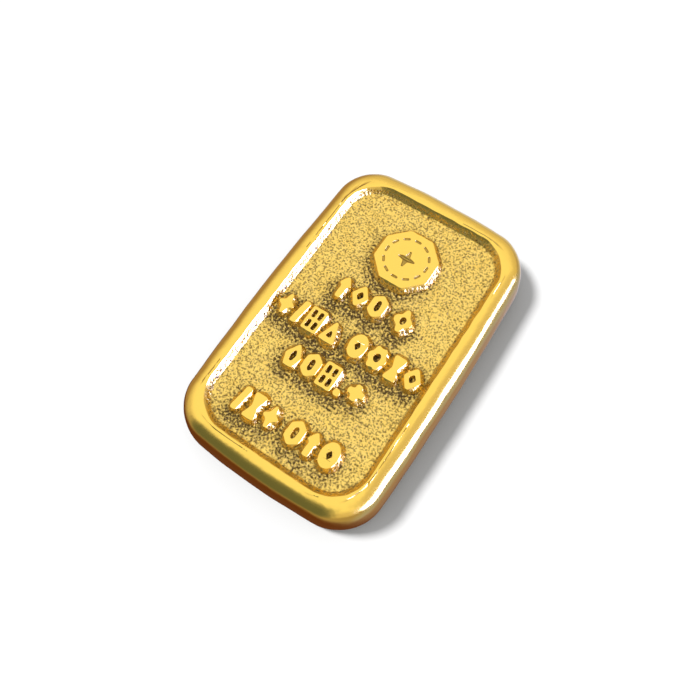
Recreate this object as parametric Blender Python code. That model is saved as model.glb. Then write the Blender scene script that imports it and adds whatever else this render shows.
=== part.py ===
"""Brass desk paperweight: a small cast bar with a polished rim, a sunk grained field and raised marks.

Metres. +X runs across the bar, +Y along it towards the badge, +Z up. The origin is the centre of the
face that the bar rests on. Every outline is a loop of (x, y) points: counter-clockwise round solid
material, clockwise round a hole.
"""

from math import cos, hypot, pi, sin, tan

import bmesh
import bpy
from mathutils import Vector
from mathutils.geometry import tessellate_polygon

MM = 0.001

# The bar casting. Length and width are the largest, over the bowed sides.
BAR_LENGTH = 72.5 * MM
BAR_WIDTH = 46.4 * MM
CASTING_HEIGHT = 10.0 * MM
CORNER_RADIUS = 8.4 * MM
SIDE_BOW = 1.0 * MM
END_BOW = 1.5 * MM
BASE_ROUNDING = 1.4 * MM
WIDEST_HEIGHT = 3.0 * MM
WALL_LEAN = 0.6 * MM
SHOULDER_WIDTH = 2.7 * MM
SHOULDER_HEIGHT = 2.4 * MM

# The rim and the sunk field inside it. Rim widths are taken from the widest line of the wall.
RIM_WIDTH_SIDE = 4.8 * MM
RIM_WIDTH_END = 4.9 * MM
RIM_CROWN = 0.12 * MM
LIP_ROUNDING = 0.25 * MM
FIELD_DEPTH = 1.5 * MM
FIELD_CORNER_RADIUS = 7.9 * MM
FIELD_SIDE_BOW = 0.1 * MM
FIELD_END_BOW = 0.2 * MM
FIELD_WALL_DRAFT = 0.6 * MM
FIELD_WALL_FOOT = 0.45 * MM

# The felt pad and its seat in the underside.
PAD_PROUD = 0.5 * MM
PAD_SEAT_DEPTH = 1.3 * MM
PAD_MARGIN = 4.2 * MM
PAD_EDGE_ROUNDING = 0.2 * MM

# The badge plate and its engraving.
BADGE_ACROSS = 12.6 * MM
BADGE_SIDES = 8
BADGE_CORNER = 0.8 * MM
BADGE_HEAD_MARGIN = 5.6 * MM
ENGRAVING_DEPTH = 0.3 * MM
ENGRAVED_DASHES = 12
DASH_LENGTH = 1.5 * MM
DASH_WIDTH = 0.5 * MM
DASH_RING_RADIUS = 4.7 * MM
ENGRAVED_STAR_RADIUS = 2.6 * MM
ENGRAVED_STAR_WAIST = 0.75 * MM

# The raised marks.
MARK_HEIGHT = 5.4 * MM
MARK_STROKE_SHARE = 0.29  # of the width of a mark of share 1
MARK_CORNER = 0.35 * MM
MARK_SPACING = 0.65 * MM
WORD_GAP = 1.6 * MM
WALL_DRAFT = 0.17 * MM
HOLE_CORNER = 0.25 * MM
HOLE_DRAFT = 0.1 * MM
TOP_DROP = 0.15 * MM
ROW_SIDE_MARGIN = 0.6 * MM
FOOT_MARGIN = 3.4 * MM

# Each row from the badge down: its marks, with their widths in proportion, and GAP for a word gap.
GAP = "gap"
ROWS = (
    (("arrow", 0.70), ("lozenge", 0.90), ("hexagon", 0.82), GAP, ("quatrefoil", 0.96)),
    (
        ("star", 0.82),
        ("slash", 0.50),
        ("pane", 0.84),
        ("triangle", 0.92),
        GAP,
        ("disc", 0.90),
        ("cog", 0.96),
        ("hourglass", 0.70),
        ("lozenge", 0.90),
    ),
    (("kite", 0.84), ("hexagon", 0.82), ("pane", 0.84), ("dot", 0.36), ("plus", 0.86)),
    (
        ("slash", 0.50),
        ("hourglass", 0.70),
        ("star", 0.82),
        GAP,
        ("hexagon", 0.82),
        ("arrow", 0.70),
        ("disc", 0.90),
    ),
)
# The clear heights under the badge, between the rows, and above the last row, in proportion.
ROW_GAPS = (3.3, 4.1, 2.9, 7.6)

# Clearance between neighbouring solids. Under the badge and the marks it stands for fused metal.
JOINT_GAP = 0.3 * MM

# How finely curves are divided.
CORNER_STEPS = 9
SIDE_STEPS = 6
ARC_STEPS = 3
ROUND_STEPS = 20

# Worked out from the sizes above.
TOP = PAD_PROUD + CASTING_HEIGHT
FIELD_LEVEL = TOP - FIELD_DEPTH
SEAT_LEVEL = PAD_PROUD + PAD_SEAT_DEPTH
FIELD_INSET = FIELD_WALL_DRAFT + FIELD_WALL_FOOT
FIELD_HALF_X = BAR_WIDTH / 2 - RIM_WIDTH_SIDE - FIELD_INSET
FIELD_HALF_Y = BAR_LENGTH / 2 - RIM_WIDTH_END - FIELD_INSET
MARK_BASE = FIELD_LEVEL + JOINT_GAP
MARK_TOP = TOP - TOP_DROP

BRASS_POLISHED = ((0.86, 0.60, 0.20), 0.22, 1.0)
BRASS_RAISED = ((0.90, 0.64, 0.22), 0.30, 1.0)
FELT_GREEN = ((0.03, 0.10, 0.05), 0.95, 0.0)


# ---- Outlines -------------------------------------------------------------------------------------


def bowed_outline(half_x, half_y, radius, bow_x, bow_y):
    """A rounded rectangle, counter-clockwise, whose sides bow out to half_x and half_y at their middles."""
    inner_x = half_x - bow_x - radius
    inner_y = half_y - bow_y - radius
    loop = []
    for quarter, (sign_x, sign_y) in enumerate(((1, 1), (-1, 1), (-1, -1), (1, -1))):
        for step in range(CORNER_STEPS + 1):
            angle = (quarter + step / CORNER_STEPS) * pi / 2
            loop.append((sign_x * inner_x + radius * cos(angle), sign_y * inner_y + radius * sin(angle)))
    flat_x = inner_x + radius
    flat_y = inner_y + radius
    bowed = []
    for x, y in divide_sides(loop):
        growth_x = bow_x / flat_x * (1 - (y / flat_y) ** 2)
        growth_y = bow_y / flat_y * (1 - (x / flat_x) ** 2)
        bowed.append((x * (1 + growth_x), y * (1 + growth_y)))
    return bowed


def divide_sides(loop):
    """Adds points along the four straight sides, which start at each corner arc's last point."""
    divided = []
    for index, start in enumerate(loop):
        divided.append(start)
        if index % (CORNER_STEPS + 1) == CORNER_STEPS:
            end = loop[(index + 1) % len(loop)]
            for step in range(1, SIDE_STEPS):
                point = Vector(start).lerp(Vector(end), step / SIDE_STEPS)
                divided.append((point.x, point.y))
    return divided


def bar_outline(inset):
    """The bar's outline in plan, this far inside its widest line."""
    half_x = BAR_WIDTH / 2 - inset
    half_y = BAR_LENGTH / 2 - inset
    return bowed_outline(half_x, half_y, CORNER_RADIUS - inset, SIDE_BOW, END_BOW)


def recess_outline(inset):
    """The outline of the sunk field's edge, this far inside the rim's inner edge."""
    return bowed_outline(
        BAR_WIDTH / 2 - RIM_WIDTH_SIDE - inset,
        BAR_LENGTH / 2 - RIM_WIDTH_END - inset,
        FIELD_CORNER_RADIUS - inset,
        FIELD_SIDE_BOW,
        FIELD_END_BOW,
    )


def pad_outline(inset):
    """The outline of the pad's seat, this far inside the seat's wall."""
    return bar_outline(PAD_MARGIN + inset)


def circle(radius_x, radius_y, steps):
    angles = [2 * pi * step / steps for step in range(steps)]
    return [(radius_x * cos(angle), radius_y * sin(angle)) for angle in angles]


def scaled(loop, factor_x, factor_y):
    return [(x * factor_x, y * factor_y) for x, y in loop]


def reversed_loop(loop):
    return loop[::-1]


def turned_point(x, y, angle):
    return x * cos(angle) - y * sin(angle), x * sin(angle) + y * cos(angle)


def rounded(corners, radius, steps=ARC_STEPS):
    """A polygon with each corner replaced by an arc, limited to what its shorter side has room for."""
    loop = []
    for index, (x, y) in enumerate(corners):
        before = Vector(corners[index - 1]) - Vector((x, y))
        after = Vector(corners[(index + 1) % len(corners)]) - Vector((x, y))
        half_angle = before.angle(after) / 2
        reach = min(radius / tan(half_angle), before.length * 0.45, after.length * 0.45)
        arc_radius = reach * tan(half_angle)
        middle = (before.normalized() + after.normalized()).normalized()
        centre = Vector((x, y)) + middle * hypot(reach, arc_radius)
        start = Vector((x, y)) + before.normalized() * reach - centre
        turn = Vector((x, y)) + after.normalized() * reach - centre
        sweep = start.angle_signed(turn) * -1
        for step in range(steps + 1):
            dx, dy = turned_point(start.x, start.y, sweep * step / steps)
            loop.append((centre.x + dx, centre.y + dy))
    return loop


def grown(loop, distance):
    """The loop scaled about the middle of its box, so that the box grows by a distance on every side."""
    scaled_axes = []
    for values in zip(*loop):
        middle = (max(values) + min(values)) / 2
        half = (max(values) - min(values)) / 2
        scaled_axes.append([middle + (value - middle) * (half + distance) / half for value in values])
    return list(zip(*scaled_axes))


# ---- Row widths -----------------------------------------------------------------------------------


def row_span(row, unit):
    """The row's width when a mark of share 1 is one unit wide."""
    marks = [entry for entry in row if entry != GAP]
    gaps = MARK_SPACING * (len(marks) - 1) + WORD_GAP * (len(row) - len(marks))
    return sum(share for _, share in marks) * unit + gaps


def width_unit():
    """The width of a mark of share 1, so that the longest row reaches both side margins of the field."""
    clear = 2 * (FIELD_HALF_X - ROW_SIDE_MARGIN)
    return min((clear - row_span(row, 0)) / (row_span(row, 1) - row_span(row, 0)) for row in ROWS)


def stroke_width():
    """The stroke of framed and barred marks, which keeps its share of the width of a mark of share 1."""
    return MARK_STROKE_SHARE * width_unit()


# ---- Mark shapes: each gives an outer corner list and a list of hole loops --------------------------


def arrow_shape(w, h):
    stem = w * 0.45
    neck = h * 0.12
    return [(-stem, -h), (stem, -h), (stem, neck), (w, neck), (0, h), (-w, neck), (-stem, neck)], []


def frame_shape(corners, w, h):
    """A frame of even stroke between a polygon and a smaller one inside it."""
    stroke = stroke_width()
    hole = scaled(corners, (w - stroke) / w, (h - stroke) / h)
    return corners, [rounded(hole, HOLE_CORNER)]


def lozenge_shape(w, h):
    corners = [(0, -h), (w, 0), (0, h), (-w, 0)]
    return corners, [rounded(scaled(corners, 0.42, 0.42), HOLE_CORNER)]


def hexagon_shape(w, h):
    side = h * 0.55
    return frame_shape([(0, -h), (w, -side), (w, side), (0, h), (-w, side), (-w, -side)], w, h)


def kite_shape(w, h):
    return frame_shape([(-w * 0.55, -h), (w * 0.55, -h), (w, -h * 0.1), (0, h), (-w, -h * 0.1)], w, h)


def triangle_shape(w, h):
    corners = [(-w, -h), (w, -h), (0, h)]
    hole = [(x * 0.36, y * 0.36 - h * 0.22) for x, y in corners]
    return corners, [rounded(hole, HOLE_CORNER)]


def pane_shape(w, h):
    """A plate with four windows, two by two."""
    bar = stroke_width() * 0.5
    window_x = (w - bar * 1.5) / 2
    window_y = (h - bar * 1.5) / 2
    window = [(-window_x, -window_y), (window_x, -window_y), (window_x, window_y), (-window_x, window_y)]
    window = rounded(window, HOLE_CORNER)
    holes = []
    for sign_x in (-1, 1):
        for sign_y in (-1, 1):
            centre_x = sign_x * (bar / 2 + window_x)
            centre_y = sign_y * (bar / 2 + window_y)
            holes.append([(x + centre_x, y + centre_y) for x, y in window])
    return [(-w, -h), (w, -h), (w, h), (-w, h)], holes


def star_shape(w, h):
    """Four points, drawn long because rounding them shortens them."""
    tip_x = w * 1.25
    tip_y = h * 1.25
    waist = w * 0.42
    return [
        (0, -tip_y),
        (waist, -waist),
        (tip_x, 0),
        (waist, waist),
        (0, tip_y),
        (-waist, waist),
        (-tip_x, 0),
        (-waist, -waist),
    ], []


def slash_shape(w, h):
    foot = stroke_width() * 1.1
    return [(-w, -h), (-w + foot, -h), (w, h), (w - foot, h)], []


def hourglass_shape(w, h):
    waist = stroke_width() * 0.5
    return [(-w, -h), (w, -h), (waist, 0), (w, h), (-w, h), (-waist, 0)], []


def plus_shape(w, h):
    arm = stroke_width() * 0.55
    reach = min(w, h)
    quarter = [(reach, -arm), (reach, arm), (arm, arm)]
    return [turned_point(x, y, turn * pi / 2) for turn in range(4) for x, y in quarter], []


def disc_shape(w, h):
    """An oval with a lozenge hole."""
    return circle(w, h, ROUND_STEPS), [[(0, -h * 0.36), (w * 0.36, 0), (0, h * 0.36), (-w * 0.36, 0)]]


def dot_shape(w, h):
    """A round dot as wide as its share, whatever the marks' height."""
    return circle(w, w, ROUND_STEPS), []


def waved_oval(w, h, waves, depth, bluntness):
    """An oval whose edge swings in and out this many times, with flat crests where bluntness passes 1."""
    points = []
    for step in range(3 * ROUND_STEPS):
        angle = 2 * pi * step / (3 * ROUND_STEPS)
        swing = max(-1, min(1, bluntness * cos(waves * angle)))
        reach = 1 - depth + depth * swing
        points.append((w * reach * cos(angle), h * reach * sin(angle)))
    return points


def cog_shape(w, h):
    """Six blunt teeth round an oval with a round hole."""
    return waved_oval(w, h, 6, 0.09, 1.5), [circle(w * 0.36, h * 0.36, ROUND_STEPS)]


def quatrefoil_shape(w, h):
    """Four lobes with a round hole."""
    return waved_oval(w, h, 4, 0.18, 1), [circle(w * 0.32, h * 0.32, ROUND_STEPS)]


SHAPES = {
    "arrow": arrow_shape,
    "lozenge": lozenge_shape,
    "hexagon": hexagon_shape,
    "kite": kite_shape,
    "triangle": triangle_shape,
    "pane": pane_shape,
    "star": star_shape,
    "slash": slash_shape,
    "hourglass": hourglass_shape,
    "plus": plus_shape,
    "disc": disc_shape,
    "dot": dot_shape,
    "cog": cog_shape,
    "quatrefoil": quatrefoil_shape,
}
ALREADY_ROUND = ("disc", "dot", "cog", "quatrefoil")


def mark_loops(shape, width):
    """The mark's top outline, then its holes, clockwise."""
    outer, holes = SHAPES[shape](width / 2, MARK_HEIGHT / 2)
    if shape not in ALREADY_ROUND:
        outer = rounded(outer, MARK_CORNER)
    return [outer] + [reversed_loop(hole) for hole in holes]


# ---- Solids -----------------------------------------------------------------------------------------


def add_loop(bm, loop, height):
    return [bm.verts.new((x, y, height)) for x, y in loop]


def bridge(bm, lower, upper):
    """A band of quads between two rings with the same number of points."""
    count = len(lower)
    for index in range(count):
        following = (index + 1) % count
        bm.faces.new((lower[index], lower[following], upper[following], upper[index]))


def fill(bm, rings):
    """Triangles between an outer ring and its holes, all at one height, found in millimetres."""
    verts = [vert for ring in rings for vert in ring]
    for corner in tessellate_polygon([[vert.co / MM for vert in ring] for ring in rings]):
        bm.faces.new([verts[index] for index in corner])


def finish_solid(bm, name, location, material):
    """Turns the mesh into a named object with its faces pointing out and its round parts shaded smooth."""
    bmesh.ops.recalc_face_normals(bm, faces=bm.faces)
    mesh = bpy.data.meshes.new(name)
    bm.to_mesh(mesh)
    bm.free()
    mesh.materials.append(principled(name, *material))
    mesh.shade_smooth()
    mesh.set_sharp_from_angle(angle=pi / 5)
    solid = bpy.data.objects.new(name, mesh)
    solid.location = location
    solid.parent = bpy.data.objects["paperweight"]
    bpy.context.scene.collection.objects.link(solid)


def raised_solid(name, loops, location, height, draft, material, pockets=()):
    """A plate with its holes going through, walls leaning out by the draft, and pockets cut in its top."""
    bm = bmesh.new()
    tops = [add_loop(bm, loop, height) for loop in loops]
    growths = [draft] + [-HOLE_DRAFT] * (len(loops) - 1)
    bases = [add_loop(bm, grown(loop, growth), 0) for loop, growth in zip(loops, growths)]
    for base, top in zip(bases, tops):
        bridge(bm, base, top)
    edges = [add_loop(bm, pocket, height) for pocket in pockets]
    for pocket, edge in zip(pockets, edges):
        floor = add_loop(bm, pocket, height - ENGRAVING_DEPTH)
        bridge(bm, floor, edge)
        bm.faces.new(floor)
    fill(bm, tops + edges)
    fill(bm, bases)
    finish_solid(bm, name, location, material)


def stacked_solid(name, rings, material):
    """A solid lofted through rings of equal length, each (loop, height), and closed at both ends."""
    bm = bmesh.new()
    made = [add_loop(bm, loop, height) for loop, height in rings]
    for lower, upper in zip(made, made[1:]):
        bridge(bm, lower, upper)
    bm.faces.new(made[0])
    bm.faces.new(made[-1])
    finish_solid(bm, name, (0, 0, 0), material)


def quarter_arc(steps):
    """Pairs (sine, 1 - cosine) along a quarter turn, both from 0 to 1."""
    return [(sin(step / steps * pi / 2), 1 - cos(step / steps * pi / 2)) for step in range(steps + 1)]


def outer_wall_rings():
    """The casting's outside, from its foot up over the shoulder to the start of the rim."""
    rings = []
    for rise, inset in reversed([(1 - s, c) for s, c in quarter_arc(4)]):
        rings.append((bar_outline(BASE_ROUNDING * inset), PAD_PROUD + BASE_ROUNDING * rise))
    rings = rings[:-1]
    rings.append((bar_outline(0), PAD_PROUD + WIDEST_HEIGHT))
    shoulder_foot = TOP - SHOULDER_HEIGHT
    for sine, versine in quarter_arc(5):
        inset = WALL_LEAN + SHOULDER_WIDTH * versine
        rings.append((bar_outline(inset), shoulder_foot + (SHOULDER_HEIGHT - RIM_CROWN) * sine))
    return rings


def recess_rings():
    """The rim's crown, its inner lip and the wall down to the sunk field."""
    rings = [(recess_outline(-LIP_ROUNDING * 2), TOP)]
    for sine, versine in quarter_arc(3):
        rings.append((recess_outline(LIP_ROUNDING * (sine - 1)), TOP - LIP_ROUNDING * versine))
    wall_foot = FIELD_LEVEL + FIELD_WALL_FOOT
    for sine, versine in quarter_arc(3):
        inset = FIELD_WALL_DRAFT + FIELD_WALL_FOOT * versine
        rings.append((recess_outline(inset), wall_foot - FIELD_WALL_FOOT * sine))
    return rings


def build_casting():
    seat = [(pad_outline(0), SEAT_LEVEL), (pad_outline(0), PAD_PROUD)]
    stacked_solid("bar_casting", seat + outer_wall_rings() + recess_rings(), BRASS_POLISHED)


def build_pad():
    """A felt sheet in the seat, standing proud of the casting so that the bar rests on it."""
    top = SEAT_LEVEL - JOINT_GAP
    rings = [
        (pad_outline(JOINT_GAP + PAD_EDGE_ROUNDING), 0),
        (pad_outline(JOINT_GAP), PAD_EDGE_ROUNDING),
        (pad_outline(JOINT_GAP), top),
    ]
    stacked_solid("felt_pad", rings, FELT_GREEN)


def dash_outline(index):
    """One dash of the engraved ring, square to its radius."""
    angle = 2 * pi * index / ENGRAVED_DASHES
    half_x = DASH_WIDTH / 2
    half_y = DASH_LENGTH / 2
    corners = [(-half_x, -half_y), (half_x, -half_y), (half_x, half_y), (-half_x, half_y)]
    dash = rounded(corners, half_x * 0.9, 2)
    return [turned_point(DASH_RING_RADIUS + x, y, angle) for x, y in dash]


def engraved_star():
    corners = []
    for point in range(4):
        for reach, turn in ((ENGRAVED_STAR_RADIUS, 0), (ENGRAVED_STAR_WAIST, 0.5)):
            corners.append(turned_point(reach, 0, (point + turn) * pi / 2))
    return rounded(corners, MARK_CORNER / 2, 2)


def badge_centre():
    return FIELD_HALF_Y - BADGE_HEAD_MARGIN - BADGE_ACROSS / 2


def build_badge():
    """An eight-sided plate with a four-point star inside a ring of dashes."""
    circumradius = BADGE_ACROSS / 2 / cos(pi / BADGE_SIDES)
    turns = [(side + 0.5) * 2 * pi / BADGE_SIDES for side in range(BADGE_SIDES)]
    corners = [turned_point(circumradius, 0, turn) for turn in turns]
    pockets = [reversed_loop(dash_outline(index)) for index in range(ENGRAVED_DASHES)]
    pockets.append(reversed_loop(engraved_star()))
    raised_solid(
        "badge_plate",
        [rounded(corners, BADGE_CORNER)],
        (0, badge_centre(), MARK_BASE),
        MARK_TOP - MARK_BASE,
        WALL_DRAFT,
        BRASS_RAISED,
        pockets,
    )


def row_centres():
    """The height up the bar of each row's centre line."""
    head = badge_centre() - BADGE_ACROSS / 2
    foot = -FIELD_HALF_Y + FOOT_MARGIN
    clear = head - foot - MARK_HEIGHT * len(ROWS)
    centres = []
    for gap in ROW_GAPS:
        head -= clear * gap / sum(ROW_GAPS)
        centres.append(head - MARK_HEIGHT / 2)
        head -= MARK_HEIGHT
    return centres


def build_marks():
    unit = width_unit()
    for number, (row, centre_y) in enumerate(zip(ROWS, row_centres()), start=1):
        left = -row_span(row, unit) / 2
        for entry in row:
            if entry == GAP:
                left += WORD_GAP
                continue
            shape, share = entry
            width = share * unit
            drop = (MARK_HEIGHT - width) / 2 if shape == "dot" else 0
            raised_solid(
                f"row{number}_{shape}",
                mark_loops(shape, width),
                (left + width / 2, centre_y - drop, MARK_BASE),
                MARK_TOP - MARK_BASE,
                WALL_DRAFT,
                BRASS_RAISED,
            )
            left += width + MARK_SPACING


# ---- Scene ------------------------------------------------------------------------------------------


def principled(name, colour, roughness, metallic):
    material = bpy.data.materials.new(name)
    material.use_nodes = True
    shader = material.node_tree.nodes["Principled BSDF"]
    shader.inputs["Base Color"].default_value = (*colour, 1)
    shader.inputs["Roughness"].default_value = roughness
    shader.inputs["Metallic"].default_value = metallic
    return material


def clear_scene():
    for thing in list(bpy.data.objects):
        bpy.data.objects.remove(thing)


def main():
    clear_scene()
    frame = bpy.data.objects.new("paperweight", None)
    bpy.context.scene.collection.objects.link(frame)
    build_casting()
    build_pad()
    build_badge()
    build_marks()


main()
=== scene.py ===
"""Looks of the brass paperweight: a small sand-cast bar with a polished rim, a grained field and marks.

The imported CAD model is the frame. Outlines are worked out in millimetres and turned into metres when a
mesh is made. +X runs across the bar, +Y along it towards the badge, +Z up.
"""

from math import ceil, cos, pi, radians, sin

import bpy
import numpy as np
from mathutils import Matrix, Vector, noise
from mathutils.geometry import delaunay_2d_cdt, tessellate_polygon

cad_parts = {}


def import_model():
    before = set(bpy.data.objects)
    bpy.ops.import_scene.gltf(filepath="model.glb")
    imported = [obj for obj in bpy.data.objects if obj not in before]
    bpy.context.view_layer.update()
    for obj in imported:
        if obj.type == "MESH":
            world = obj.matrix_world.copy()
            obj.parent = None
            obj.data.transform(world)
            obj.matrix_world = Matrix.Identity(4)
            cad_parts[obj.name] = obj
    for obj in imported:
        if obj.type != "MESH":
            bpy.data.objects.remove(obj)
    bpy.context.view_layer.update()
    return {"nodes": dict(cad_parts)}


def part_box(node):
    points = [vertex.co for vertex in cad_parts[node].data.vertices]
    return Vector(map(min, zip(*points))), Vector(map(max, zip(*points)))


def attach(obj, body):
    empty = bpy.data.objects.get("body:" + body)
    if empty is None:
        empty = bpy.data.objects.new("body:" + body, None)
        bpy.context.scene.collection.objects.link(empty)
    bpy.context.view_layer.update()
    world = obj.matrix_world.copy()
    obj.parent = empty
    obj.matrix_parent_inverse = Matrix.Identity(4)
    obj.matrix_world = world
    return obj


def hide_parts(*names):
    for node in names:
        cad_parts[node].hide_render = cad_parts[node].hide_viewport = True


MM = 0.001
SEED = 7

# Brings the noise to about -1 to 1.
NOISE_GAIN = 1.6
# How far, in millimetres, a corner may lie off a level or two corners apart and still count as one.
LEVEL_TOLERANCE = 0.01
WELD_TOLERANCE = 1e-6

# The bar's outline and section, in millimetres, as the CAD casting has them.
CORNER_RADIUS = 8.4
SIDE_BOW = 1.0
END_BOW = 1.5
RIM_WIDTH_SIDE = 4.8
RIM_WIDTH_END = 4.9
FIELD_CORNER_RADIUS = 7.9
FIELD_SIDE_BOW = 0.1
FIELD_END_BOW = 0.2
FIELD_DEPTH = 1.5
PAD_MARGIN = 4.2
JOINT_GAP = 0.3

# The outside from the foot up to the rim's crown: (inset from the widest line, height above the foot),
# for a casting of the height named first.
SECTION_HEIGHT = 10.0
OUTER_SECTION = (
    (1.50, 0.00),
    (0.85, 0.13),
    (0.34, 0.55),
    (0.08, 1.35),
    (0.00, 2.90),
    (0.09, 4.45),
    (0.25, 5.85),
    (0.48, 7.10),
    (0.80, 8.08),
    (1.20, 8.80),
    (1.68, 9.30),
    (2.30, 9.67),
    (2.95, 9.88),
    (3.55, 9.97),
)
# The rim's inner edge down to the field: (inset from the lip, depth under the top).
INNER_SECTION = (
    (-0.70, 0.02),
    (-0.30, 0.03),
    (-0.10, 0.07),
    (0.04, 0.20),
    (0.22, 0.44),
    (0.44, 0.74),
    (0.66, 1.04),
    (0.88, 1.32),
    (1.05, 1.50),
)

# How finely the casting is divided: points on a corner, an end and a long side.
OUTER_DIVISIONS = (24, 30, 64)
INNER_DIVISIONS = (80, 130, 320)
SECTION_STEPS = 2

# The field's points: their distance apart, and in shares of it how far each is shaken off its grid, how
# far the grid stays inside the field's edge, and how near to a point of the edge one may lie.
FIELD_STEP = 0.185
FIELD_SHAKE = 0.28
FIELD_MARGIN = 1.1
EDGE_CLEARANCE = 0.7
POINTS_AT_ONCE = 4000

# The cast grain, with a coarse and a fine part, and the fillet where the field meets a mark.
GRAIN_PITCH = 0.46
GRAIN_HEIGHT = 0.13
FINE_GRAIN_PITCH_SHARE = 0.55
FINE_GRAIN_SEED = SEED + 40.0
COARSE_GRAIN_SHARE = 0.65
FINE_GRAIN_SHARE = 0.45
FILLET_RISE = 0.30
FILLET_REACH = 0.32

# Slow unevenness of the surfaces, each as (height, pitch, seed).
DRIFT_WAVE = (0.05, 5.0, 20.0)
SLOW_WALL_WAVE = (0.08, 7.0, 11.0)
QUICK_WALL_WAVE = (0.015, 2.5, 3.0)
CROWN_WAVE = (0.03, 5.0, 31.0)
LIP_WAVE = (0.07, 2.2, 61.0)
MARK_WAVE = (0.05, 0.9, 71.0)
FELT_WAVE = (0.05, 0.6, 5.0)

# Room left for that unevenness, so that it stays inside the CAD casting's box. The crown begins at this
# height of the section.
WALL_WAVE_ROOM = 0.10
CROWN_WAVE_ROOM = 0.03
CROWN_HEIGHT = 9.0

# The recess wall: the grain is full at this inset and pushes the wall by these shares of its height. Rings
# that lie on the crown, outside the next inset, get only a share of the lip's wave.
FULL_GRAIN_INSET = 0.5
WALL_GRAIN_SIDEWAYS = 1.5
WALL_GRAIN_UPWARDS = 0.7
CROWN_INSET = -0.4
LIP_WAVE_ON_CROWN = 0.4

# The raised marks: a flat plateau, a rounded edge and a wall that spreads to a flared foot, as (distance
# outward, drop under the plateau).
MARK_POINT_SPACING = 0.13
MARK_LEAST_POINTS = 24
SPREAD_STEP = 0.03
PLATEAU_MARGIN = 0.04
MARK_SECTION = (
    (-0.05, 0.000),
    (0.01, 0.015),
    (0.06, 0.06),
    (0.15, 0.17),
    (0.30, 0.35),
    (0.47, 0.56),
    (0.66, 0.79),
    (0.84, 1.02),
    (1.00, 1.26),
    (1.12, 1.60),
)
# The walls of a mark's holes spread by this share of the section.
HOLE_LEAN = 0.18
# A wall is smooth down to the first drop and fully rough this much lower, and its foot stays level.
SMOOTH_DROP = 0.10
ROUGHENING_DROP = 0.5
FOOT_DROP = 1.4
MARK_GRAIN_SIDEWAYS = 1.1
MARK_GRAIN_UPWARDS = 0.5
# How much of its polish a fully rough wall loses.
WALL_ROUGHNESS = 0.55

# The badge's engraved grooves, as (distance into the plate around, drop under its top).
ENGRAVING_SECTION = ((0.03, 0.00), (0.0, 0.03), (-0.03, 0.09), (-0.06, 0.22))
GROOVE_POINTS = 28
GROOVE_MARGIN = 0.09
GROOVE_PATINA = 0.5
GROOVE_PATINA_DROP = 0.2

# Painted shade beside the marks, shifted towards the near end, in slow patches as (height, pitch, seed) and
# strongest across the middle rows; and the dark patina in the pits of the grain. Walls have (patina of flat
# grain, contrast).
PAINTED_SHADE_REACH = 1.7
# How far, in millimetres, the painted shade lies off the marks, towards the near end.
PAINTED_SHADE_SHIFT = (0.3, 1.3)
PAINTED_SHADE_PATCHES = (0.5, 6.0, 90.0)
PAINTED_SHADE_PATCH_LEVEL = 0.5
PAINTED_SHADE_PATCH_SHARE = 0.6
PAINTED_SHADE_BASE = 0.40
MIDDLE_ROWS_Y = -1.0
MIDDLE_ROWS_REACH = 9.0
PAINTED_SHADE_LEVEL = 0.82
PIT_CONTRAST = 1.7
PIT_THRESHOLD = 0.30
PIT_PATINA = 0.7
RECESS_WALL_PATINA = (0.10, 1.4)
MARK_WALL_PATINA = (0.20, 1.3)
# The patina and polish of the pad's seat.
SEAT_LOOK = (0.5, 0.2)

# The felt sheet: it keeps clear of the seat's wall, and its lower edge is rounded.
FELT_CLEARANCE = 0.05
FELT_ROUNDING = 0.2
FELT_MIDDLE_INSET = 3.0
FELT_INNER_INSET = 6.0
FELT_CORNER_LOSS = 2.0

# How finely the CAD outlines are sampled to find what is near a mark.
MARK_OUTLINE_POINTS = 60
BADGE_OUTLINE_POINTS = 160


# ---- Outlines in millimetres ------------------------------------------------------------------------


def bowed_outline(half_x, half_y, radius, bow_x, bow_y, divisions):
    """A rounded rectangle, counter-clockwise, whose sides bow out to half_x and half_y at their middles."""
    corner, end, side = divisions
    inner_x = half_x - bow_x - radius
    inner_y = half_y - bow_y - radius
    angles = np.linspace(0, pi / 2, corner, endpoint=False)
    parts = []
    for quarter, (sign_x, sign_y) in enumerate(((1, 1), (-1, 1), (-1, -1), (1, -1))):
        turn = angles + quarter * pi / 2
        centre_x = sign_x * inner_x
        centre_y = sign_y * inner_y
        arc = np.stack([centre_x + radius * np.cos(turn), centre_y + radius * np.sin(turn)], 1)
        parts.append(arc)
        steps = end if quarter % 2 == 0 else side
        last = (quarter + 1) * pi / 2
        start = np.array([centre_x + radius * cos(last), centre_y + radius * sin(last)])
        stop = start * ((-1, 1) if quarter % 2 == 0 else (1, -1))
        parts.append(start + (stop - start) * np.linspace(0, 1, steps, endpoint=False)[:, None])
    loop = np.concatenate(parts)
    flat_x = inner_x + radius
    flat_y = inner_y + radius
    share_x = bow_x / flat_x * (1 - (loop[:, 1] / flat_y) ** 2)
    share_y = bow_y / flat_y * (1 - (loop[:, 0] / flat_x) ** 2)
    return loop * (1 + np.stack([share_x, share_y], 1))


def bar_outline(half, inset):
    """The bar's plan outline, this far inside its widest line."""
    return bowed_outline(
        half[0] - inset, half[1] - inset, CORNER_RADIUS - inset, SIDE_BOW, END_BOW, OUTER_DIVISIONS
    )


def recess_outline(half, inset):
    """The recess's plan outline, this far inside its lip."""
    return bowed_outline(
        half[0] - RIM_WIDTH_SIDE - inset,
        half[1] - RIM_WIDTH_END - inset,
        FIELD_CORNER_RADIUS - inset,
        FIELD_SIDE_BOW,
        FIELD_END_BOW,
        INNER_DIVISIONS,
    )


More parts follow.
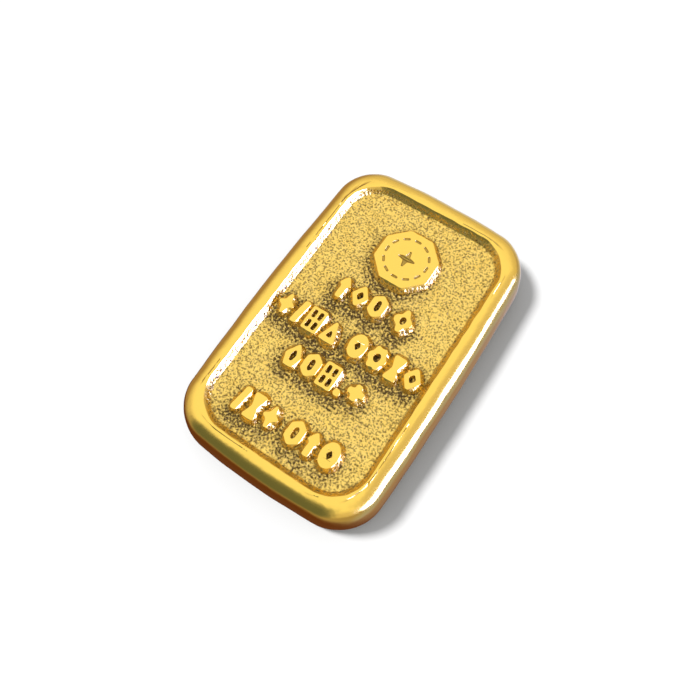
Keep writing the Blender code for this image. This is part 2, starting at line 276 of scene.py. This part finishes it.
def smooth_section(points, steps):
    """A curve through the points of a section, with this many steps between each two."""
    given = np.array(points, float)
    padded = np.concatenate([[2 * given[0] - given[1]], given, [2 * given[-1] - given[-2]]])
    curve = []
    for index in range(1, len(given)):
        a, b, c, d = padded[index - 1 : index + 3]
        for step in range(steps):
            t = step / steps
            slope = c - a
            square = 2 * a - 5 * b + 4 * c - d
            cube = 3 * b - a - 3 * c + d
            curve.append(0.5 * (2 * b + slope * t + square * t**2 + cube * t**3))
    return np.array(curve + [given[-1]])


def resampled(loop, count):
    """A closed loop with this many points, evenly spaced along it."""
    closed = np.concatenate([loop, loop[:1]])
    lengths = np.hypot(*np.diff(closed, axis=0).T)
    at = np.concatenate([[0], np.cumsum(lengths)])
    wanted = np.linspace(0, at[-1], count, endpoint=False)
    return np.stack([np.interp(wanted, at, closed[:, axis]) for axis in (0, 1)], 1)


def loop_length(loop):
    return float(np.hypot(*(np.roll(loop, -1, 0) - loop).T).sum())


def outward(loop):
    """The unit normal of each point, to the right of the way the loop runs."""
    along = np.roll(loop, -1, 0) - np.roll(loop, 1, 0)
    along /= np.maximum(np.hypot(*along.T), 1e-9)[:, None]
    return np.stack([along[:, 1], -along[:, 0]], 1)


def softened(loop, share):
    """Each point moved by this share towards the middle of its two neighbours."""
    return loop + share * ((np.roll(loop, 1, 0) + np.roll(loop, -1, 0)) / 2 - loop)


def spread(loop, distance):
    """The loop moved outward in small steps, kept smooth and even so that it doesn't cross itself."""
    steps = max(1, ceil(abs(distance) / SPREAD_STEP))
    for _ in range(steps):
        loop = loop + outward(loop) * distance / steps
        loop = resampled(softened(softened(loop, 0.5), 0.5), len(loop))
    return loop


# ---- Noise ------------------------------------------------------------------------------------------


def noise_at(points, pitch, seed):
    """Smooth noise from about -1 to 1 at each point of an (n, 3) array, with bumps about one pitch apart."""
    shift = Vector((seed, 0, 0))
    return np.array([noise.noise(Vector(point) / pitch + shift) for point in points]) * NOISE_GAIN


def wave_at(points, wave):
    """Noise of one (height, pitch, seed) at each point."""
    height, pitch, seed = wave
    return height * noise_at(points, pitch, seed)


def grain_at(points):
    """The cast surface: pits and lumps at the sand's pitch and a finer one."""
    coarse = noise_at(points, GRAIN_PITCH, SEED)
    fine = noise_at(points, GRAIN_PITCH * FINE_GRAIN_PITCH_SHARE, FINE_GRAIN_SEED)
    return COARSE_GRAIN_SHARE * coarse + FINE_GRAIN_SHARE * fine


def wall_patina(roughness, grain, patina_and_shade):
    """How dark a cast wall is: most in its pits, and not at all where it is polished."""
    level, contrast = patina_and_shade
    return np.clip(roughness * (level - contrast * grain), 0, 1)


def flat_points(loop, height=0.0):
    """The points of a plan loop as (n, 3), all at one height."""
    return np.column_stack([loop, np.full(len(loop), height)])


# ---- Meshes -----------------------------------------------------------------------------------------


class Builder:
    """Collects vertices in millimetres, faces, and two numbers for each vertex: patina, which on the field
    also holds painted shade, and polish.
    """

    def __init__(self):
        self.points = []
        self.faces = []
        self.patina_and_shade = []
        self.polish = []

    def add(self, points, patina_and_shade, polish):
        """Adds vertices, each value one number for all or one for each, and gives their indices."""
        first = len(self.points)
        self.points.extend(map(tuple, points))
        self.patina_and_shade.extend(np.broadcast_to(patina_and_shade, len(points)))
        self.polish.extend(np.broadcast_to(polish, len(points)))
        return list(range(first, first + len(points)))

    def bridge(self, lower, upper):
        """Quads between two rings with as many points; the face looks out where lower runs anticlockwise."""
        for index in range(len(lower)):
            following = (index + 1) % len(lower)
            self.faces.append((lower[index], lower[following], upper[following], upper[index]))

    def zip_rings(self, lower, upper):
        """Triangles between two rings that run alongside but differ in their number of points."""
        low = high = 0
        while low < len(lower) or high < len(upper):
            a = lower[low % len(lower)]
            b = upper[high % len(upper)]
            if high == len(upper) or (low < len(lower) and (low + 1) * len(upper) <= (high + 1) * len(lower)):
                self.faces.append((a, lower[(low + 1) % len(lower)], b))
                low += 1
            else:
                self.faces.append((a, upper[(high + 1) % len(upper)], b))
                high += 1

    def cap(self, rings, upwards):
        """Triangles between an outer ring and its holes, all on one level."""
        order = [index for ring in rings for index in ring]
        loops = [[Vector(self.points[index]) for index in ring] for ring in rings]
        found = [[order[index] for index in corner] for corner in tessellate_polygon(loops)]
        corners = np.array(self.points)[np.array(found)]
        facing = np.cross(corners[:, 1] - corners[:, 0], corners[:, 2] - corners[:, 0])[:, 2].sum() > 0
        for face in found:
            self.faces.append(tuple(face if facing == upwards else face[::-1]))

    def finish(self, name, material, slot, nodes):
        """The piece: its mesh in metres, riding on the one body and standing for these CAD nodes."""
        mesh = bpy.data.meshes.new(name)
        mesh.from_pydata((np.array(self.points) * MM).tolist(), [], self.faces)
        # The patina values also carry the painted shade on the field.
        for key, values in (("patina_and_shade", self.patina_and_shade), ("polish", self.polish)):
            layer = mesh.attributes.new(key, "FLOAT", "POINT")
            layer.data.foreach_set("value", np.array(values, np.float32))
        mesh.validate()
        mesh.shade_smooth()
        mesh.materials.append(material)
        piece = bpy.data.objects.new(name, mesh)
        bpy.context.scene.collection.objects.link(piece)
        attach(piece, "root")
        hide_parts(*nodes)
        return piece


# ---- What the frame says ----------------------------------------------------------------------------


def box_mm(node):
    """The lowest and highest corner of a CAD node, in millimetres."""
    low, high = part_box(node.name)
    return np.array(low) / MM, np.array(high) / MM


def top_loops(node):
    """The plan outlines of a CAD mark's flat top, in millimetres: the outer one first, then its holes."""
    mesh = node.data
    points = np.array([vertex.co for vertex in mesh.vertices]) / MM
    top = points[:, 2].max()
    keys = [tuple(np.round(point, 3)) for point in points]
    edges = set()
    for polygon in mesh.polygons:
        corners = [keys[index] for index in polygon.vertices]
        if all(abs(corner[2] - top) < LEVEL_TOLERANCE for corner in corners):
            edges.update(zip(corners, corners[1:] + corners[:1]))
    following = {start: end for start, end in edges if (end, start) not in edges}
    loops = []
    while following:
        start, current = next(iter(following.items()))
        following.pop(start)
        loop = [start]
        while current != start:
            loop.append(current)
            current = following.pop(current)
        loops.append(np.array(loop)[:, :2])
    return sorted(loops, key=lambda loop: -np.ptp(loop, axis=0).prod())


# ---- The casting ------------------------------------------------------------------------------------


def nearest_outline(points, outlines):
    """The distance in millimetres from each plan point to the nearest point of these outlines."""
    others = np.concatenate(outlines)
    nearest = np.full(len(points), np.inf)
    for start in range(0, len(points), POINTS_AT_ONCE):
        part = points[start : start + POINTS_AT_ONCE]
        gaps = np.hypot(part[:, None, 0] - others[None, :, 0], part[:, None, 1] - others[None, :, 1])
        nearest[start : start + POINTS_AT_ONCE] = gaps.min(axis=1)
    return nearest


def field_patina_and_shade(points, grain, distance):
    """How dark each field point is: patina in the pits, and painted shade beside the marks and shifted
    towards the near end, in patches and strongest across the middle rows.
    """
    patches = PAINTED_SHADE_PATCH_LEVEL + wave_at(flat_points(points), PAINTED_SHADE_PATCHES)
    # Painted shade: dark near the marks' outlines, moved towards the near end, uneven in patches and across
    # the middle rows.
    near = np.exp(-((distance / PAINTED_SHADE_REACH) ** 2))
    middle = np.exp(-(((points[:, 1] - MIDDLE_ROWS_Y) / MIDDLE_ROWS_REACH) ** 2))
    painted_shade = np.clip(near * (PAINTED_SHADE_BASE + middle + PAINTED_SHADE_PATCH_SHARE * patches), 0, 1)
    pits = np.clip(-grain * PIT_CONTRAST - PIT_THRESHOLD, 0, 1)
    return np.clip(painted_shade * (PAINTED_SHADE_LEVEL - PIT_CONTRAST * grain) + PIT_PATINA * pits, 0, 1)


def field_points(edge):
    """Scattered plan points inside the field's edge, about one step apart."""
    rng = np.random.default_rng(SEED)
    centre = (edge.max(axis=0) + edge.min(axis=0)) / 2
    edge = edge - centre
    half_x, half_y = edge.max(axis=0)
    xs = np.arange(-half_x, half_x, FIELD_STEP)
    ys = np.arange(-half_y, half_y, FIELD_STEP)
    grid = np.stack(np.meshgrid(xs, ys), -1).reshape(-1, 2)
    grid += rng.uniform(-FIELD_SHAKE, FIELD_SHAKE, grid.shape) * FIELD_STEP
    shrink = 1 - FIELD_MARGIN * FIELD_STEP / min(half_x, half_y)
    angles = np.arctan2(edge[:, 1], edge[:, 0])
    order = np.argsort(angles)
    reach = np.hypot(*edge.T)[order]
    limit = np.interp(np.arctan2(grid[:, 1], grid[:, 0]), angles[order], reach, period=2 * pi)
    return grid[np.hypot(*grid.T) < limit * shrink] + centre


def in_ring_order(a, b, c):
    """Whether an anticlockwise face with all its corners on the ring lies inside it, not in a dent."""
    return a < b < c or b < c < a or c < a < b


def add_field(builder, ring, edge, level, outlines):
    """The grained field inside the ring of vertices at its edge."""
    inner = field_points(edge)
    inner = inner[nearest_outline(inner, [edge]) > EDGE_CLEARANCE * FIELD_STEP]
    plan = np.concatenate([edge, inner])
    distance = nearest_outline(inner, outlines)
    flat = flat_points(inner)
    grain = grain_at(flat)
    height = level + GRAIN_HEIGHT * grain + wave_at(flat, DRIFT_WAVE)
    height += FILLET_RISE * np.exp(-((distance / FILLET_REACH) ** 2))
    # The patina values here hold painted shade beside the marks as well as the patina in the grain's pits.
    patina_and_shade = field_patina_and_shade(inner, grain, nearest_outline(inner + PAINTED_SHADE_SHIFT, outlines))
    added = builder.add(np.column_stack([inner, height]), patina_and_shade, 0.0)
    index_of = ring + added
    rim = len(edge)
    bounds = [(index, (index + 1) % rim) for index in range(rim)]
    found = delaunay_2d_cdt([Vector(point) for point in plan], bounds, [], 0, WELD_TOLERANCE, False)
    for face in found[2]:
        if max(face) >= rim or in_ring_order(*face):
            builder.faces.append(tuple(index_of[corner] for corner in face))


def add_seat(builder, half, foot, roof):
    """The shallow seat for the pad, from its roof down to the foot; gives its ring at the foot."""
    seat = bar_outline(half, PAD_MARGIN)
    upper = builder.add(flat_points(seat, roof), *SEAT_LOOK)
    builder.cap([upper], upwards=False)
    lower = builder.add(flat_points(seat, foot), *SEAT_LOOK)
    builder.bridge(upper, lower)
    return lower


def add_outside(builder, previous, half, foot, top):
    """The foot, wall, shoulder and rim, from the seat's ring up to the crown; gives the crown's ring."""
    for inset, rise in smooth_section(OUTER_SECTION, SECTION_STEPS):
        ring = flat_points(bar_outline(half, inset), foot + rise * (top - foot) / SECTION_HEIGHT)
        waves = wave_at(ring, SLOW_WALL_WAVE) + wave_at(ring, QUICK_WALL_WAVE) - WALL_WAVE_ROOM
        ring[:, :2] += outward(ring[:, :2]) * waves[:, None]
        lift = wave_at(ring, CROWN_WAVE) * min(1, rise / CROWN_HEIGHT)
        ring[:, 2] += lift - CROWN_WAVE_ROOM * (rise > CROWN_HEIGHT)
        current = builder.add(ring, 0.0, 1.0)
        builder.bridge(previous, current)
        previous = current
    return previous


def add_recess_wall(builder, crown, half, top):
    """The rim's inner edge and the grained wall under it; gives the lowest ring and its plan."""
    previous = None
    for inset, depth in smooth_section(INNER_SECTION, SECTION_STEPS):
        roughness = np.clip(inset / FULL_GRAIN_INSET, 0, 1)
        plan = recess_outline(half, inset)
        flat = flat_points(plan, -depth)
        sway = wave_at(flat, LIP_WAVE) * (1 if inset > CROWN_INSET else LIP_WAVE_ON_CROWN)
        plan = plan + outward(plan) * sway[:, None]
        grain = grain_at(flat)
        plan = plan + outward(plan) * (grain * GRAIN_HEIGHT * WALL_GRAIN_SIDEWAYS * roughness)[:, None]
        height = top - CROWN_WAVE_ROOM - depth + roughness * GRAIN_HEIGHT * grain * WALL_GRAIN_UPWARDS
        patina_and_shade = wall_patina(roughness, grain, RECESS_WALL_PATINA)
        ring = builder.add(np.column_stack([plan, height]), patina_and_shade, 1.0 - WALL_ROUGHNESS * roughness)
        if previous is None:
            builder.zip_rings(crown, ring)
        else:
            builder.bridge(previous, ring)
        previous = ring
    return previous, plan


def build_casting(nodes, material, outlines):
    """The whole brass bar: seat for the pad, foot, wall, shoulder, rim, recess wall and grained field."""
    low, high = box_mm(nodes["bar_casting"])
    half = high[:2]
    foot = low[2]
    top = high[2]
    builder = Builder()
    seat_ring = add_seat(builder, half, foot, box_mm(nodes["felt_pad"])[1][2] + JOINT_GAP)
    crown = add_outside(builder, seat_ring, half, foot, top)
    edge_ring, edge = add_recess_wall(builder, crown, half, top)
    add_field(builder, edge_ring, edge, top - FIELD_DEPTH, outlines)
    return builder.finish("cast_bar", material, "bar_brass", ["bar_casting"])


# ---- The marks and the badge ------------------------------------------------------------------------


def wobbled(loop):
    """A slightly uneven outline, as a sand mould leaves it."""
    count = max(MARK_LEAST_POINTS, round(loop_length(loop) / MARK_POINT_SPACING))
    even = resampled(loop, count)
    return even + outward(even) * wave_at(flat_points(even), MARK_WAVE)[:, None]


def wall_rings(builder, loop, top, lean):
    """The rings of one wall from the plateau's edge down, rougher and darker towards the foot."""
    rings = []
    for spread_by, drop in MARK_SECTION:
        plan = spread(loop, spread_by * lean)
        ring = flat_points(plan, top - drop)
        roughness = np.clip((drop - SMOOTH_DROP) / ROUGHENING_DROP, 0, 1)
        grain = grain_at(ring)
        push = grain * GRAIN_HEIGHT * MARK_GRAIN_SIDEWAYS * roughness * lean
        ring[:, :2] += outward(plan) * push[:, None]
        if drop < FOOT_DROP:
            ring[:, 2] += grain * GRAIN_HEIGHT * MARK_GRAIN_UPWARDS * roughness
        patina_and_shade = wall_patina(roughness, grain, MARK_WALL_PATINA)
        rings.append(builder.add(ring, patina_and_shade, 1.0 - WALL_ROUGHNESS * roughness))
    return rings


def join_rings(builder, rings, level_ring):
    """Bands from the plateau's edge down, and the ring just inside it that keeps the plateau flat."""
    builder.bridge(rings[0], level_ring)
    for upper, lower in zip(rings, rings[1:]):
        builder.bridge(lower, upper)


def add_plateau(builder, loops, top, leans):
    """A flat top bounded by several walls; gives the walls' lowest rings."""
    level_rings = []
    feet = []
    for loop, lean in zip(loops, leans):
        rings = wall_rings(builder, loop, top, lean)
        inside = spread(loop, MARK_SECTION[0][0] * lean - PLATEAU_MARGIN)
        level = builder.add(flat_points(inside, top), 0.0, 1.0)
        join_rings(builder, rings, level)
        level_rings.append(level)
        feet.append(rings[-1])
    return level_rings, feet


def build_mark(name, node, material):
    """One raised mark: a flat top and grained walls, steeper in its holes than outside."""
    loops = [wobbled(loop) for loop in top_loops(node)]
    top = box_mm(node)[1][2]
    leans = [1.0] + [HOLE_LEAN] * (len(loops) - 1)
    builder = Builder()
    level_rings, feet = add_plateau(builder, loops, top, leans)
    builder.cap(level_rings, upwards=True)
    builder.cap(feet, upwards=False)
    return builder.finish(name, material, "mark_brass", [node.name])


def build_badge(node, material):
    """The badge: its outer wall as on the marks, and every inner outline a shallow dark groove."""
    outer, *grooves = top_loops(node)
    top = box_mm(node)[1][2]
    builder = Builder()
    level_rings, feet = add_plateau(builder, [wobbled(outer)], top, [1.0])
    for groove in grooves:
        edge = resampled(groove, GROOVE_POINTS)
        rings = []
        for widen, drop in ENGRAVING_SECTION:
            plan = edge - outward(edge) * widen
            patina_and_shade = min(GROOVE_PATINA, drop / GROOVE_PATINA_DROP)
            rings.append(builder.add(flat_points(plan, top - drop), patina_and_shade, 1.0))
        level = builder.add(flat_points(edge - outward(edge) * GROOVE_MARGIN, top), 0.0, 1.0)
        join_rings(builder, rings, level)
        level_rings.append(level)
        builder.cap([rings[-1]], upwards=True)
    builder.cap(level_rings, upwards=True)
    builder.cap(feet, upwards=False)
    return builder.finish("badge", material, "badge_brass", [node.name])


def pad_outline(half, corner_loss):
    """The pad's plan outline, with this much taken off its corners' radius."""
    radius = CORNER_RADIUS - PAD_MARGIN - corner_loss
    return bowed_outline(half[0], half[1], radius, SIDE_BOW, END_BOW, OUTER_DIVISIONS)


def felt_section(top):
    """Round the sheet from the middle of its underside to its top, as (inset, height)."""
    return (
        (FELT_INNER_INSET, 0.0),
        (FELT_MIDDLE_INSET, 0.0),
        (FELT_ROUNDING, 0.0),
        (0.0, FELT_ROUNDING),
        (0.0, top - FELT_ROUNDING),
        (FELT_MIDDLE_INSET, top),
    )


def build_felt(node, material):
    """The felt sheet under the bar, with a fibrous edge and underside."""
    low, high = box_mm(node)
    half = high[:2]
    builder = Builder()
    rings = []
    for inset, height in felt_section(high[2]):
        plan = pad_outline(half - inset - FELT_CLEARANCE, min(inset, FELT_CORNER_LOSS))
        ring = flat_points(plan, height)
        ring[:, :2] -= outward(plan) * np.abs(wave_at(ring, FELT_WAVE))[:, None]
        rings.append(builder.add(ring, 0.0, 0.0))
    for lower, upper in zip(rings, rings[1:]):
        builder.bridge(lower, upper)
    builder.cap([rings[0]], upwards=False)
    builder.cap([rings[-1]], upwards=True)
    felt = builder.finish("felt_base", material, "felt", [node.name])
    return felt


# ---- Materials --------------------------------------------------------------------------------------

BRASS_BRIGHT = (0.92, 0.60, 0.115)
BRASS_CAST = (1.0, 0.715, 0.205)
BRASS_WARM = (0.94, 0.61, 0.12)
BRASS_DARK = (0.080, 0.046, 0.012)
FELT_COLOUR = (0.016, 0.050, 0.026)
FELT_FIBRE = (0.03, 0.085, 0.045)

# Noise in the materials, each as (scale in cycles for each metre, octaves).
BLOTCHES = (420.0, 3.0)
WAVES = (330.0, 2.0)
GRAINS = (2350.0, 2.0)
FINE_GRAINS = (5200.0, 2.0)
FIBRES = (3500.0, 4.0)


def new_material(name):
    """A material with its Principled shader and small helpers that add and link nodes."""
    material = bpy.data.materials.new(name)
    material.use_nodes = True
    tree = material.node_tree
    shader = tree.nodes["Principled BSDF"]

    def add(kind, **inputs):
        node = tree.nodes.new(kind)
        for key, value in inputs.items():
            target = node.inputs[key.replace("_", " ")]
            if isinstance(value, bpy.types.NodeSocket):
                tree.links.new(value, target)
            else:
                target.default_value = value
        return node

    return material, tree, shader, add


def mixed(add, factor, low, high):
    """A number that goes from low to high with the factor."""
    node = add("ShaderNodeMapRange", Value=factor, To_Min=low, To_Max=high)
    return node.outputs["Result"]


def mixed_colour(tree, factor, low, high):
    """A colour that goes from low to high with the factor."""
    node = tree.nodes.new("ShaderNodeMix")
    node.data_type = "RGBA"
    for socket, value in ((node.inputs[0], factor), (node.inputs[6], low), (node.inputs[7], high)):
        if isinstance(value, bpy.types.NodeSocket):
            tree.links.new(value, socket)
        else:
            socket.default_value = (*value, 1)
    return node.outputs[2]


def mixed_socket(tree, factor, low, high):
    """A number that goes from one socket's to another's with the factor."""
    node = tree.nodes.new("ShaderNodeMix")
    for index, socket in ((0, factor), (2, low), (3, high)):
        tree.links.new(socket, node.inputs[index])
    return node.outputs[0]


def maths(tree, operation, first, second):
    """One operation on the numbers of two sockets."""
    node = tree.nodes.new("ShaderNodeMath")
    node.operation = operation
    tree.links.new(first, node.inputs[0])
    tree.links.new(second, node.inputs[1])
    return node.outputs[0]


def texture(add, place, kind):
    """Noise of one (scale, octaves)."""
    scale, detail = kind
    return add("ShaderNodeTexNoise", Vector=place, Scale=scale, Detail=detail).outputs["Fac"]


def bumped(add, height, strength, distance, **over):
    """The normal with bumps up to this distance, in metres, over another normal where one is given."""
    node = add("ShaderNodeBump", Height=height, Strength=strength, Distance=distance, **over)
    return node.outputs["Normal"]


def attribute(add, name):
    """A value stored on the mesh's vertices."""
    node = add("ShaderNodeAttribute")
    node.attribute_name = name
    return node.outputs["Fac"]


def speckled_patina_and_shade(tree, add, polish, grains):
    """The mesh's patina and painted shade, with dark specks in the finest pits of the cast surfaces."""
    patina_and_shade = attribute(add, "patina_and_shade")
    pits = add("ShaderNodeMapRange", Value=grains, From_Min=0.475, From_Max=0.425).outputs["Result"]
    strength = maths(tree, "MULTIPLY", mixed(add, polish, 1.0, -0.3), mixed(add, patina_and_shade, 0.62, 1.3))
    return maths(tree, "MAXIMUM", patina_and_shade, maths(tree, "MULTIPLY", pits, strength))


def brass_colour(tree, patina_and_shade, polish, blotches):
    """Bright where polished, warmer in blotches and dark under the patina and the painted shade."""
    bright = mixed_colour(tree, polish, BRASS_CAST, BRASS_BRIGHT)
    warm = mixed_colour(tree, blotches, bright, BRASS_WARM)
    return mixed_colour(tree, patina_and_shade, warm, BRASS_DARK)


def brass_roughness(tree, add, patina_and_shade, polish, blotches):
    """Matt where cast and dark, smoother in blotches where polished."""
    return mixed_socket(tree, polish, mixed(add, patina_and_shade, 0.30, 0.62), mixed(add, blotches, 0.14, 0.24))


def brass_normal(add, place, polish, grains):
    """Grain on the cast surfaces, slow waves on the polished ones, and fine grain on both."""
    grained = bumped(add, grains, mixed(add, polish, 0.75, 0.02), 0.00012)
    wavy = bumped(add, texture(add, place, WAVES), mixed(add, polish, 0.0, 0.3), 0.0003, Normal=grained)
    return bumped(add, texture(add, place, FINE_GRAINS), 0.15, 0.00003, Normal=wavy)


def brass_material():
    """Cast and polished brass: the polish and patina values of the mesh say where it is which; the patina
    values also carry painted shade on the field.
    """
    material, tree, shader, add = new_material("cast_brass")
    place = add("ShaderNodeTexCoord").outputs["Object"]
    polish = attribute(add, "polish")
    blotches = texture(add, place, BLOTCHES)
    grains = texture(add, place, GRAINS)
    patina_and_shade = speckled_patina_and_shade(tree, add, polish, grains)
    tree.links.new(brass_colour(tree, patina_and_shade, polish, blotches), shader.inputs["Base Color"])
    tree.links.new(brass_roughness(tree, add, patina_and_shade, polish, blotches), shader.inputs["Roughness"])
    tree.links.new(mixed(add, patina_and_shade, 1.0, 0.35), shader.inputs["Metallic"])
    tree.links.new(brass_normal(add, place, polish, grains), shader.inputs["Normal"])
    shader.inputs["Specular IOR Level"].default_value = 0.3
    return material


def felt_material():
    """Dark green felt: matted fibres with a soft sheen."""
    material, tree, shader, add = new_material("felt")
    fibres = texture(add, add("ShaderNodeTexCoord").outputs["Object"], FIBRES)
    tree.links.new(mixed_colour(tree, fibres, FELT_COLOUR, FELT_FIBRE), shader.inputs["Base Color"])
    tree.links.new(bumped(add, fibres, 0.8, 0.0002), shader.inputs["Normal"])
    shader.inputs["Roughness"].default_value = 0.95
    shader.inputs["Sheen Weight"].default_value = 0.4
    return material


# ---- Studio -----------------------------------------------------------------------------------------

CAMERA_AZIMUTH = 37.5
CAMERA_ELEVATION = 68.7
CAMERA_ROLL = -4.26
CAMERA_DISTANCE = 0.14454
CAMERA_AIM = Vector((0, -0.00025, 0))
CAMERA_SHIFT = (-0.0113, -0.0033)
CAMERA_LENS = 34.885543
SENSOR_WIDTH = 36
NEAREST_SEEN = 0.01

FLOOR_REACH = 3.0
FLOOR_COLOUR = (0.93, 0.93, 0.93, 1)

# The sun's azimuth and elevation, and how wide it looks, all in degrees.
KEY_PLACE = (195.7, 58)
KEY_WIDTH = 13
KEY_ENERGY = 2.62

# The even light on all that doesn't mirror, and the light that the metal throws back on it.
FILL_LEVEL = 0.48
GLINT_ON_FLOOR = (0.05, 0.06, 0.12)
# What the metal mirrors: one colour all round, with soft patches laid over it.
LOW_COLOUR = (0.45, 0.40, 0.36)
CARD_COLOUR = (7.5, 9.5, 34.0)
SKY_PATCHES = (
    # azimuth, elevation, cosine where it starts, cosine where it is full, colour
    (0, 90, -0.10, 0.35, (0.80, 0.77, 0.72)),
    (0, 90, 0.46, 0.87, (1.17, 1.20, 1.15)),
    (100, -40, 0.60, 0.92, (0.74, 0.82, 1.20)),
    (163, -13, 0.60, 0.95, (0.42, 0.32, 0.25)),
    (17, 52, 0.84, 0.96, (0.80, 0.78, 0.80)),
    (15, -30, 0.62, 0.88, (0.46, 0.52, 0.85)),
    (15, -74, 0.84, 0.96, (0.38, 0.28, 0.24)),
    (-128, -60, 0.55, 0.90, (0.14, 0.050, 0.02)),
    (-103, 45, 0.86, 0.96, (0.22, 0.26, 0.26)),
    (-103, 20, 0.72, 0.93, (0.15, 0.19, 0.20)),
    (17, 14, 0.955, 0.975, CARD_COLOUR),
    (-8, 17, 0.960, 0.980, CARD_COLOUR),
    (6, 3, 0.968, 0.986, CARD_COLOUR),
)


def add_camera():
    """The camera, which looks at a point beside the origin with a slight roll."""
    azimuth = radians(CAMERA_AZIMUTH)
    elevation = radians(CAMERA_ELEVATION)
    roll = radians(CAMERA_ROLL)
    back = Vector((sin(azimuth) * cos(elevation), -cos(azimuth) * cos(elevation), sin(elevation)))
    right = Vector((cos(azimuth), sin(azimuth), 0))
    up = back.cross(right)
    axis_x = right * cos(roll) + up * sin(roll)
    axis_y = up * cos(roll) - right * sin(roll)
    data = bpy.data.cameras.new("camera")
    data.sensor_width = SENSOR_WIDTH
    data.lens = CAMERA_LENS
    data.clip_start = NEAREST_SEEN
    data.shift_x, data.shift_y = CAMERA_SHIFT
    camera = bpy.data.objects.new("camera", data)
    camera.matrix_world = Matrix.Translation(CAMERA_AIM + back * CAMERA_DISTANCE) @ Matrix(
        [[axis_x[i], axis_y[i], back[i], 0] for i in range(3)] + [[0, 0, 0, 1]]
    )
    bpy.context.scene.collection.objects.link(camera)
    bpy.context.scene.camera = camera


def direction(azimuth, elevation):
    """A unit vector, with azimuth anticlockwise from +X, both in degrees."""
    around = radians(azimuth)
    above = radians(elevation)
    return Vector((cos(around) * cos(above), sin(around) * cos(above), sin(above)))


def add_floor():
    """A matt pale floor, which the metal doesn't mirror."""
    mesh = bpy.data.meshes.new("floor")
    corners = [(x * FLOOR_REACH, y * FLOOR_REACH, 0) for x, y in ((-1, -1), (1, -1), (1, 1), (-1, 1))]
    mesh.from_pydata(corners, [], [(0, 1, 2, 3)])
    floor = bpy.data.objects.new("floor", mesh)
    material = bpy.data.materials.new("floor")
    material.use_nodes = True
    shader = material.node_tree.nodes["Principled BSDF"]
    shader.inputs["Base Color"].default_value = FLOOR_COLOUR
    shader.inputs["Roughness"].default_value = 1.0
    shader.inputs["Specular IOR Level"].default_value = 0.0
    mesh.materials.append(material)
    floor.visible_glossy = False
    bpy.context.scene.collection.objects.link(floor)


class Surroundings:
    """The world's nodes: patches of light laid over each other by the direction that a ray leaves in."""

    def __init__(self):
        world = bpy.data.worlds.new("studio")
        bpy.context.scene.world = world
        world.use_nodes = True
        self.tree = world.node_tree
        self.place = self.tree.nodes.new("ShaderNodeTexCoord").outputs["Generated"]
        self.colour = LOW_COLOUR

    def nearness(self, towards, start, stop):
        """Rises smoothly from 0 to 1 as a ray turns towards this direction."""
        dot = self.tree.nodes.new("ShaderNodeVectorMath")
        dot.operation = "DOT_PRODUCT"
        self.tree.links.new(self.place, dot.inputs[0])
        dot.inputs[1].default_value = towards
        ramp = self.tree.nodes.new("ShaderNodeMapRange")
        ramp.interpolation_type = "SMOOTHSTEP"
        self.tree.links.new(dot.outputs["Value"], ramp.inputs["Value"])
        ramp.inputs["From Min"].default_value = start
        ramp.inputs["From Max"].default_value = stop
        return ramp.outputs["Result"]

    def lay(self, factor, colour):
        """Lays a colour over what is there, by a factor."""
        self.colour = mixed_colour(self.tree, factor, self.colour, colour)

    def finish(self):
        """Metal sees the patches, and everything else an even pale surround."""
        rays = self.tree.nodes.new("ShaderNodeLightPath")
        glint = mixed_colour(self.tree, rays.outputs["Diffuse Depth"], self.colour, GLINT_ON_FLOOR)
        seen = mixed_colour(self.tree, rays.outputs["Is Glossy Ray"], (FILL_LEVEL,) * 3, glint)
        seen = mixed_colour(self.tree, rays.outputs["Is Camera Ray"], seen, (1, 1, 1))
        self.tree.links.new(seen, self.tree.nodes["Background"].inputs["Color"])


def add_world():
    """Soft studio surroundings: bright overhead, tan low down, dark before the near end."""
    sky = Surroundings()
    for azimuth, elevation, start, stop, colour in SKY_PATCHES:
        sky.lay(sky.nearness(direction(azimuth, elevation), start, stop), colour)
    sky.finish()


def add_key():
    """A soft sun for the shadow on the floor, which the metal doesn't mirror."""
    data = bpy.data.lights.new("key", "SUN")
    data.energy = KEY_ENERGY
    data.angle = radians(KEY_WIDTH)
    lamp = bpy.data.objects.new("key", data)
    lamp.rotation_euler = direction(*KEY_PLACE).to_track_quat("Z", "Y").to_euler()
    lamp.visible_glossy = False
    bpy.context.scene.collection.objects.link(lamp)


def mark_outlines(nodes, marks):
    """Every outline of the marks and the badge's outer one, in plan, for what is near a mark."""
    outlines = [resampled(loop, MARK_OUTLINE_POINTS) for name in marks for loop in top_loops(nodes[name])]
    outlines.append(resampled(top_loops(nodes["badge_plate"])[0], BADGE_OUTLINE_POINTS))
    return outlines


def main():
    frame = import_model()
    nodes = frame["nodes"]
    add_camera()
    add_floor()
    add_world()
    add_key()
    brass = brass_material()
    marks = sorted(name for name in nodes if name.startswith("row"))
    outlines = mark_outlines(nodes, marks)
    build_casting(nodes, brass, outlines)
    for name in marks:
        build_mark(f"mark_{name}", nodes[name], brass)
    build_badge(nodes["badge_plate"], brass)
    build_felt(nodes["felt_pad"], felt_material())
    bpy.context.scene.view_settings.view_transform = "Standard"


main()
